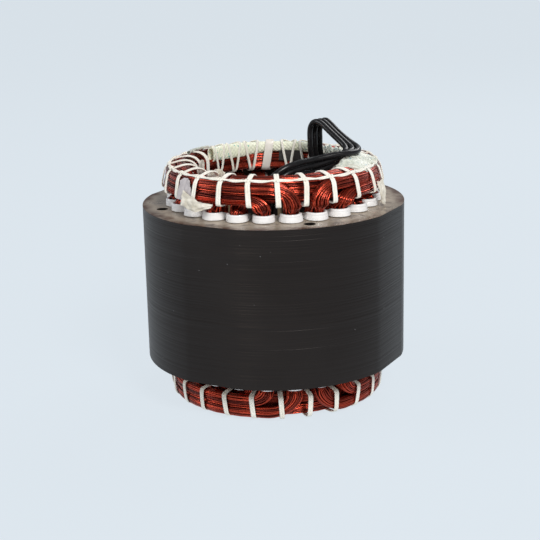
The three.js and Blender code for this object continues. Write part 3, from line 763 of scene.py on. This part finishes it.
def coil(phase, layer, first, item):
    """One coil: rings of strands right round it, and more strands that spread where it leaves each slot."""
    number, level, offset, span, travel = item
    slot = first + offset
    upper, corner_rows = end_run(TOP, layer, level, slot, span, travel)
    lower, lower_rows = end_run(BOTTOM, layer, level, slot + travel * span, span, -travel)
    lower[:, 2] += 180
    total = len(upper) + len(lower)
    t = np.arange(total) / total
    window = np.concatenate([np.sin(np.linspace(0, math.pi, len(rows))) for rows in (upper, lower)])
    twist = np.concatenate([np.full(len(rows), dice.uniform(-most, most))
                            for rows, most in ((upper, 0.9), (lower, 1.6))])
    normals = np.concatenate([outward(upper[:, 0]), outward(lower[:, 0])])
    parts = []
    for size, count in STRAND_RINGS:
        for k in range(count):
            spin = 2 * math.pi * (k + dice.uniform(-0.12, 0.12)) / count
            spins = spin + twist * window + 0.10 * ripple(waves(4, 14), t)
            spins = spins + 0.035 * ripple(waves(18, 34), t)
            sizes = size * (1 + 0.035 * ripple(waves(6, 30), t))
            path = np.concatenate([
                section_at(TOP, layer, upper, travel, spins[:len(upper)], sizes[:len(upper)]),
                section_at(BOTTOM, layer, lower, travel, spins[len(upper):], sizes[len(upper):])])
            parts.append(tube(path, normals, WIRE_RADIUS, WIRE_RADIUS, closed=True, tint=dice.random()))
    for end, rows, length in ((TOP, upper, corner_rows), (BOTTOM, lower, lower_rows)):
        for leg in (rows[:length], rows[::-1][:length]):
            part = leg[1:-2]
            sink = smooth(part[:, 4] * 0.85 + np.linspace(0, 0.15, len(part)))
            for k in range(LEG_STRANDS):
                spin = 2 * math.pi * (k + 0.5 + dice.uniform(-0.15, 0.15)) / LEG_STRANDS
                spins = np.full(len(part), spin)
                path = section_at(end, layer, part, travel, spins, lerp(1.0, LEG_STRAND_END, sink))
                parts.append(tube(path, outward(part[:, 0]), WIRE_RADIUS, WIRE_RADIUS, tint=dice.random()))
    piece = mesh_object(f"winding_{phase}{number}", parts, [copper], sharp=70)
    finish_piece(piece, "copper", f"coil_{phase}{number}")


for phase, layer, first in PHASES:
    for item in COILS:
        coil(phase, layer, first, item)


# Lacing

def rounded(corners, rounds=3):
    """A closed line of (radius, height) rows with its corners cut round."""
    line = np.array(corners, float)
    for _ in range(rounds):
        following = np.roll(line, -1, 0)
        line = np.stack([0.75 * line + 0.25 * following, 0.25 * line + 0.75 * following], 1).reshape(-1, 2)
    return line


def line_normals(line):
    ahead = unit(np.roll(line, -1, 0) - np.roll(line, 1, 0))
    return np.stack([ahead[:, 1], -ahead[:, 0]], -1)


def loop_cord(end, corners, angle_of, width, thick, power=2.4, sides=10):
    """A flat cord round the end winding. angle_of gives its angle for the rows of the line."""
    line = rounded(corners)
    flat = line_normals(line)
    angles = angle_of(line)
    path = place(angles, line[:, 0], end["face"] + end["side"] * line[:, 1])
    normals = outward(angles) * flat[:, :1]
    normals[:, 2] = end["side"] * flat[:, 1]
    return tube(path, normals, width, thick, sides, True, power, tint=dice.random())


# The line of a band round the winding, as radius and height rows: plain, over a joint sleeve, and underneath
BAND_FOOT = ((43.0, 9.0), (52.0, 8.9), (62.4, 9.0), (63.9, 10.6), (64.0, 17.5), (63.9, 24.2))
PLAIN_TOP = (*BAND_FOOT, (61.6, 26.3), (50.2, 26.3), (43.0, 21.6), (42.7, 15.0))
SLEEVE_TOP = (*BAND_FOOT, (61.6, 26.3), (51.0, 26.2), (49.0, 27.0), (44.6, 27.4), (42.6, 25.2), (42.2, 15.0))
PLAIN_BOTTOM = ((43.0, 8.4), (52.0, 8.3), (61.2, 8.4), (62.7, 10.0), (62.8, 16.0), (62.6, 21.6),
                (60.4, 23.6), (52.0, 23.7), (44.6, 23.6), (42.8, 21.8), (42.7, 15.0))


def depth_and_inside(line):
    """For the rows of a band's line: the share of the way down, and 1 on the ring's inner side."""
    return (BAND_TOP - line[:, 1]) / BAND_DEPTH, smooth((INSIDE_RADIUS - line[:, 0]) / INSIDE_OVER)


def top_band(tooth):
    angle = tooth * PITCH
    sleeved = tooth in SLEEVED_TEETH
    slant = dice.uniform(-1.2, 1.2)
    parts = []
    for side in (-1, 1):
        def angle_of(line, side=side):
            gap = side * TOP_GAP / line[:, 0] * 180 / math.pi
            down, inside = depth_and_inside(line)
            if sleeved:
                return angle + side * inside * (1 - down) * JOINT_SPREAD + gap + slant * down * (1 - inside)
            return angle + gap + slant * down
        parts.append(loop_cord(TOP, SLEEVE_TOP if sleeved else PLAIN_TOP, angle_of, *TOP_CORD))
    return parts


def bottom_band(tooth):
    angle = tooth * PITCH
    slant = dice.uniform(-1.6, 1.6)
    parts = []
    for side in (-1, 1):
        def angle_of(line, side=side):
            gap = side * BOTTOM_GAP / line[:, 0] * 180 / math.pi
            return angle + gap + slant * (16 - line[:, 1]) / 14
        parts.append(loop_cord(BOTTOM, PLAIN_BOTTOM, angle_of, *BOTTOM_CORD))
    return parts


def running_cords():
    """Two cords twisted together along the ring's edge, dipping between the bands."""
    first = (STRAP_TOOTH + RUNNING_BREAK) * PITCH
    last = first + 360 - 2 * RUNNING_BREAK * PITCH
    angles = np.arange(first, last + 0.1, 0.75)
    dip = RUNNING_SAG * (1 - np.cos(np.radians(angles * SLOT_COUNT))) / 2
    dip = dip + 0.12 * np.sin(np.radians(angles * 7))
    parts = []
    for phase in (0, math.pi):
        spin = np.radians(angles * 15) + phase
        height = RUNNING_HEIGHT - dip + 0.34 * np.sin(spin)
        path = place(angles, RUNNING_RADIUS + 0.55 * np.cos(spin), CORE_TOP + height)
        parts.append(tube(path, outward(angles), *RUNNING_CORD, 8, power=2.4, tint=dice.random()))
    return parts


def knot(angle):
    """A short coil of cord that wraps the running cords where they cross a band."""
    turns = np.linspace(0, 3.4 * math.pi, 24)
    angles = angle + np.linspace(-1.5, 1.5, len(turns))
    height = KNOT_HEIGHT + np.sin(turns)
    path = place(angles, RUNNING_RADIUS + 1.15 * np.cos(turns), CORE_TOP + height)
    normals = outward(angles) * np.cos(turns)[:, None]
    normals[:, 2] = np.sin(turns)
    return tube(path, normals, 0.62, 0.42, 8, tint=dice.random())


def hair():
    """One loose fibre that stands off the lacing."""
    angle, radius, reach = dice.uniform(0, 360), dice.uniform(60.5, 62.3), dice.uniform(1.2, 3.2)
    t = np.linspace(0, 1, 6)
    height = HAIR_HEIGHT + (t - 0.45 * t * t) * reach
    path = place(angle + dice.uniform(-2, 2) * t, radius + dice.uniform(-0.6, 1.2) * t * reach / 2,
                 CORE_TOP + height)
    return tube(path, outward(np.full(6, angle)), HAIR_RADIUS, HAIR_RADIUS, 4, tint=dice.random())


def lacing():
    parts = []
    for tooth in range(SLOT_COUNT):
        if tooth != STRAP_TOOTH:
            parts.extend(top_band(tooth))
            parts.append(knot(tooth * PITCH))
    parts.extend(running_cords())
    for _ in range(HAIR_COUNT):
        parts.append(hair())
    finish_piece(mesh_object("lacing_cord_top", parts, [cord], sharp=80), "lacing", "lacing_top")
    parts = []
    for tooth in range(SLOT_COUNT):
        parts.extend(bottom_band(tooth))
    finish_piece(mesh_object("lacing_cord_bottom", parts, [cord], sharp=80), "lacing", "lacing_bottom")


lacing()


# Strap: its half sizes and slant, then the block and the cut end

STRAP_HALF, STRAP_SLIP = (2.4, 0.55), 4.0
HEAD_RADIUS, HEAD_HEIGHT = 66.1, 17.8
HEAD_ENDS = ((-3.2, 0.86), (-2.8, 1), (2.8, 1), (3.2, 0.86))
TAIL_START, TAIL_BOW, TAIL_RISE = 66.6, (0, 0.2, 0.5, 0.9, 1.4), (2, 3, 4, 5, 6)


def strap():
    """A nylon strap round the ring: its band, the block that locks it and the cut end that stands out."""
    angle = STRAP_TOOTH * PITCH

    def angle_of(line):
        down, inside = depth_and_inside(line)
        return angle + STRAP_SLIP * inside * down

    loop = loop_cord(TOP, SLEEVE_TOP, angle_of, *STRAP_HALF, 6, 16)
    x = np.array([-1, -0.86, 0.86, 1, 1, 0.86, -0.86, -1])
    y = np.array([-0.8, -1, -1, -0.8, 0.8, 1, 1, 0.8])
    middle = CORE_TOP + HEAD_HEIGHT
    outline = [place(angle, HEAD_RADIUS + 2.3 * y * k, middle + h, 3.6 * x * k) for h, k in HEAD_ENDS]
    head = grid(outline, False)
    facing = np.full(len(TAIL_BOW), angle)
    line = place(facing, TAIL_START + np.array(TAIL_BOW), middle + np.array(TAIL_RISE))
    tail = tube(line, outward(facing), 2.3, 0.5, 12, power=6)
    finish_piece(mesh_object("nylon_tie", [loop, head, tail], [nylon]), "tie", "cable_tie")


strap()


# Sleeves. An open end's inner rings are given as the row they follow and their share of its size.

SLEEVE_SIDES, SLEEVE_POWER = 28, 2.6
SLEEVE_HOLLOW = ((-1, 0.84), (-4, 0.80))


def sleeve_part(angles, radius, height, wide, tall, wrinkle, hollow=False, wave_range=(2, 9)):
    """A soft sleeve along the ring, given by its centre line and half sizes. A hollow one has an open end."""
    t = np.linspace(0, 1, len(angles))
    turn = -math.pi / 2 + np.arange(SLEEVE_SIDES) * 2 * math.pi / SLEEVE_SIDES
    c, s = np.cos(turn), np.sin(turn)
    k = (np.abs(c) ** SLEEVE_POWER + np.abs(s) ** SLEEVE_POWER) ** (-1 / SLEEVE_POWER)
    along = np.radians(angles - angles[0]) * np.mean(radius)
    folds = [(dice.randint(*wave_range), dice.randint(1, 4), dice.uniform(0, 6.3)) for _ in range(5)]
    uneven = sum(0.5 * np.sin(2 * math.pi * (a * t[:, None] + b * turn[None, :] / (2 * math.pi)) + p)
                 for a, b, p in folds)
    scale = 1 + wrinkle * uneven
    radii = radius[:, None] + wide[:, None] * (k * c)[None] * scale
    heights = height[:, None] + tall[:, None] * (k * s)[None] * scale
    rings = place(np.broadcast_to(angles[:, None], radii.shape), radii, CORE_TOP + heights)
    if hollow:
        middle = place(angles, radius, CORE_TOP + height)
        inner = [middle[row] + (rings[row] - middle[row]) * share for row, share in SLEEVE_HOLLOW]
        rings = np.concatenate([rings, inner])
        along = np.concatenate([along, [along[row] for row, _ in SLEEVE_HOLLOW]])
    return grid(rings, False, along=along[:, None], turn=turn[None, :])


def sleeves():
    angles = np.linspace(173, 262, 64)
    pinch = 1 - 0.07 * np.exp(-((((angles / PITCH - 0.5) % 1) - 0.5) * 4) ** 2)
    full = smooth((angles - 205) / 35)
    rear = sleeve_part(angles, radius=46.2 - 1.0 * full, height=23.2 - 1.2 * full, wide=2.7 * pinch,
                       tall=(3.3 + 1.5 * full) * pinch, wrinkle=0.025, hollow=True)
    rear_piece = mesh_object("sleeve_rear", [rear], [rear_sleeve], sharp=60)
    finish_piece(rear_piece, "sleeve", "joint_sleeve_rear")
    angles = np.linspace(80, 168, 220)
    broad = np.minimum(smooth((angles - 79) / 8), smooth((138 - angles) / 26))
    right = sleeve_part(angles, radius=46.8 + 7.0 * broad, height=22.4 + 3.4 * broad, wide=2.9 + 4.9 * broad,
                        tall=3.1 - 0.4 * broad, wrinkle=0.17, wave_range=(6, 26))
    right_piece = mesh_object("sleeve_right", [right], [tape_sleeve], sharp=60)
    finish_piece(right_piece, "sleeve", "joint_sleeve_right")
    angles = np.linspace(251, 280, 30)
    left = sleeve_part(angles, radius=np.linspace(59, 52.5, 30), height=np.full(30, 27.4),
                       wide=np.full(30, 1.3), tall=np.full(30, 1.2), wrinkle=0.06, hollow=True)
    left_piece = mesh_object("sleeve_left", [left], [tape_sleeve], sharp=60)
    finish_piece(left_piece, "sleeve", "splice_sleeve_left")


sleeves()


# Papers and tape tails

PAPER_THICKNESS, TAPE_THICKNESS = 0.3, 0.5
STRIP_ROWS, STRIP_FOLDS = 14, 6


def strip(name, nodes, low, high, thickness, crumple, material, slot, columns=26):
    """A creased strip between two edges, which are rows of angle, radius and height over the core."""
    low, high = np.array(low, float), np.array(high, float)
    u = np.linspace(0, 1, columns)
    v = np.linspace(0, 1, STRIP_ROWS)
    knots = np.linspace(0, 1, len(low))

    def along(edge):
        return np.stack([np.interp(u, knots, edge[:, i]) for i in range(3)], -1)

    front = lerp(along(low)[:, None], along(high)[:, None], v[None, :, None])
    folds = [(dice.uniform(1, 4), dice.uniform(-3, 3), dice.uniform(0, 6.3), dice.uniform(0.4, 1))
             for _ in range(STRIP_FOLDS)]
    relief = sum(size * np.abs(np.sin(math.pi * (a * u[:, None] + b * v[None, :]) + p))
                 for a, b, p, size in folds)
    front[..., 1] += crumple * (relief - relief.mean())
    back = front.copy()
    back[..., 1] += thickness
    rings = np.concatenate([front, back[:, ::-1]], 1)
    points = place(rings[..., 0], rings[..., 1], CORE_TOP + rings[..., 2])
    piece = mesh_object(name, [grid(points, False)], [material], sharp=60)
    finish_piece(piece, slot, *nodes)
    return piece


strip("paper_left", ["phase_paper_left"],
      [(333.0, 64.6, 10.6), (336.5, 64.8, 10.0), (340, 64.8, 10.8), (344.2, 64.6, 12.6)],
      [(333.2, 64.0, 23.0), (336, 63.8, 25.4), (339, 63.8, 25.6), (341.2, 64.0, 24.0)],
      PAPER_THICKNESS, 0.22, paper, "paper")
# The rear phase paper is coloured near-black as painted shade for the shaded gap under the rear sleeve.
strip("paper_rear", ["phase_paper_rear"],
      [(184, 43.3, 15.0), (189, 43.2, 14.6), (197, 43.2, 14.4), (203, 43.4, 14.8)],
      [(184.2, 43.2, 20.6), (189, 43.0, 21.0), (196, 43.0, 21.0), (202.5, 43.2, 20.8)],
      PAPER_THICKNESS, 0.15, painted_shade_paper, "paper")
strip("paper_inner_left", [],
      [(317.5, 45.0, 18.0), (321, 44.6, 17.6), (325, 44.6, 17.8), (328.5, 45.0, 18.4)],
      [(319.5, 43.6, 26.0), (322, 43.2, 27.4), (326, 43.2, 27.6), (328.5, 43.8, 25.4)],
      PAPER_THICKNESS, 0.25, tape, "paper")
strip("paper_inner_front", [],
      [(334.0, 45.4, 18.4), (341, 44.8, 18.2), (347, 44.8, 18.6), (352.5, 45.4, 19.0)],
      [(336.5, 43.8, 22.2), (342, 43.4, 24.4), (347, 43.4, 24.8), (352.0, 44.0, 23.4)],
      PAPER_THICKNESS, 0.25, tape, "paper")
# A sheet with no CAD part between the rear legs. It is shaped as phase insulation and coloured near-black as
# painted shade for the shaded gap under the rear coils.
strip("painted_shade_separator_rear", [],
      [(168, 58.5, 0.8), (200, 58.5, 0.8), (232, 58.5, 0.8), (266, 58.5, 0.8)],
      [(168, 58.5, 10.8), (200, 58.5, 10.8), (232, 58.5, 10.8), (266, 58.5, 10.8)],
      PAPER_THICKNESS, 0.05, painted_shade_paper, "paper", columns=60)
left = strip("tail_left", ["tape_tail_left"],
             [(338.5, 65.6, 7.6), (343, 65.9, 6.2), (349, 66.2, 5.2), (357.5, 65.4, 8.4)],
             [(338.5, 65.2, 17.6), (344, 65.6, 14.6), (350, 65.9, 11.8), (358, 65.2, 10.4)],
             TAPE_THICKNESS, 0.6, tape, "tape")
right = strip("tail_right", ["tape_tail_right"],
              [(93.5, 65.2, 6.0), (95.5, 65.8, 1.6), (98, 66.0, 0.8), (101, 65.4, 6.5)],
              [(93.0, 64.6, 17.0), (96, 64.9, 16.0), (99, 64.9, 16.0), (102, 64.6, 17.5)],
              TAPE_THICKNESS, 0.5, tape, "tape")


# Floor, light and sky

# A light's name, place and size in metres, power and colour
LIGHTS = (
    ("key", (0.85, -0.7, 0.95), 0.40, 15.5, (1, 0.98, 0.95)),
    ("fill", (-1.0, -0.55, 0.8), 0.6, 5.0, (0.95, 0.97, 1)),
    ("low", (0.0, -1.2, 0.2), 0.4, 1.6, (1, 0.93, 0.84)),
    ("back", (0.1, 1.0, 0.9), 0.7, 6.5, (1, 1, 1)),
)
LIGHT_TARGET = (0, 0, 0.08)
FLOOR_RADIUS = 14


def studio():
    """A pale floor, an even sky and four soft lights."""
    bpy.ops.mesh.primitive_circle_add(vertices=64, radius=FLOOR_RADIUS, fill_type="NGON", location=(0, 0, 0))
    floor = bpy.context.object
    floor.name = "floor"
    pale = Shader("floor_pale", Roughness=0.95, Specular_IOR_Level=0.0)
    pale.shader.inputs["Base Color"].default_value = (0.05, 0.055, 0.06, 1)
    pale.shader.inputs["Emission Color"].default_value = (0.708, 0.775, 0.831, 1)
    pale.shader.inputs["Emission Strength"].default_value = 0.95
    floor.data.materials.append(pale.material)
    world = bpy.data.worlds.new("world")
    world.use_nodes = True
    sky = world.node_tree.nodes["Background"]
    sky.inputs["Color"].default_value = (0.86, 0.92, 1.0, 1)
    sky.inputs["Strength"].default_value = 0.32
    bpy.context.scene.world = world
    for name, where, size, power, colour in LIGHTS:
        data = bpy.data.lights.new(name, "AREA")
        data.size, data.energy, data.color = size, power, colour
        light = bpy.data.objects.new(name, data)
        light.location = where
        light.rotation_euler = (Vector(LIGHT_TARGET) - Vector(where)).to_track_quat("-Z", "Y").to_euler()
        bpy.context.scene.collection.objects.link(light)
    bpy.context.scene.view_settings.view_transform = "Standard"


studio()
